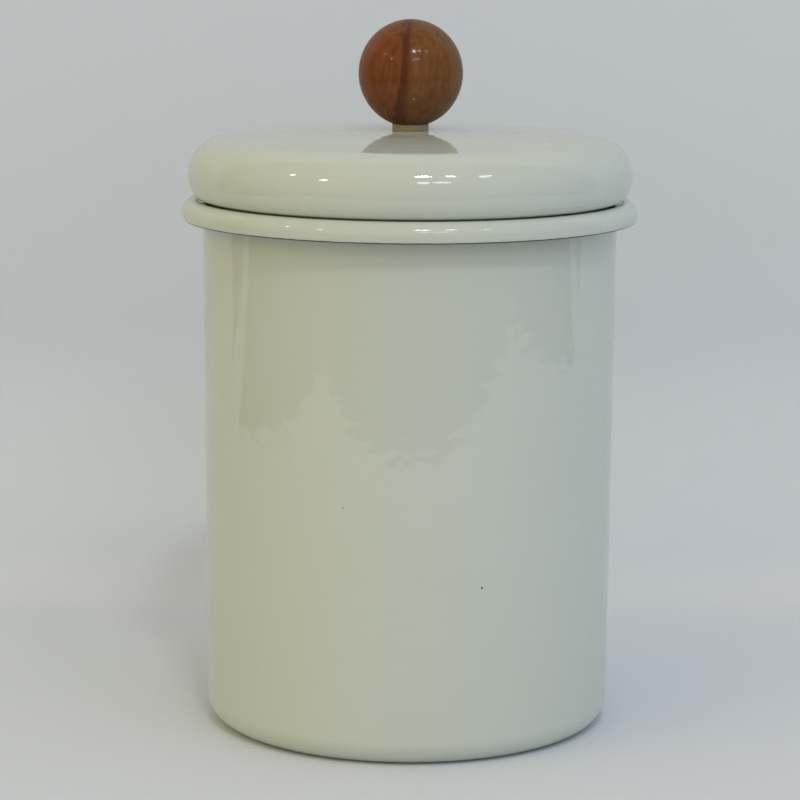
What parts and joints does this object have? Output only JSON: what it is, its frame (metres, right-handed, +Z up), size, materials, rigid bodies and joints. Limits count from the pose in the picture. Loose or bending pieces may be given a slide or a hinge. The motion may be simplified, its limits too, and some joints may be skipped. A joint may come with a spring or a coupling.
{
  "type": "enamel jar",
  "caption": "Straight round enamelled steel storage jar with a rolled rim, a low crowned lift-off lid with an inner collar, and a turned wooden ball knob.",
  "frame": {"origin": "centre of the ring that the jar stands on, on the surface under it", "axes": "+Z up along the jar's axis, towards the knob; the part is round, so +X and +Y are any two level directions at right angles"},
  "size_m": [0.1384, 0.1384, 0.2146],
  "materials": {
    "jar_enamel": "glossy vitreous enamel, warm cream, fired on steel",
    "lid_enamel": "glossy vitreous enamel, warm cream, fired on steel",
    "knob_wood": "turned hardwood, stained red-brown, gloss varnish",
    "cushion": "natural nylon, matte",
    "brass": "turned brass",
    "zinc_plated_steel": "bright zinc plating"
  },
  "bodies": {
    "jar": {"jar_body": "jar_enamel"},
    "lid": {"lid_shell": "lid_enamel", "knob_washer": "cushion", "knob_ball": "knob_wood", "knob_insert": "brass", "screw_washer": "zinc_plated_steel", "knob_screw": "zinc_plated_steel"}
  },
  "joints": [
    {"name": "lid_lift", "type": "slide", "parent": "jar", "child": "lid", "axis": [0, 0, 1], "range_m": [0, 0.15]}
  ]
}
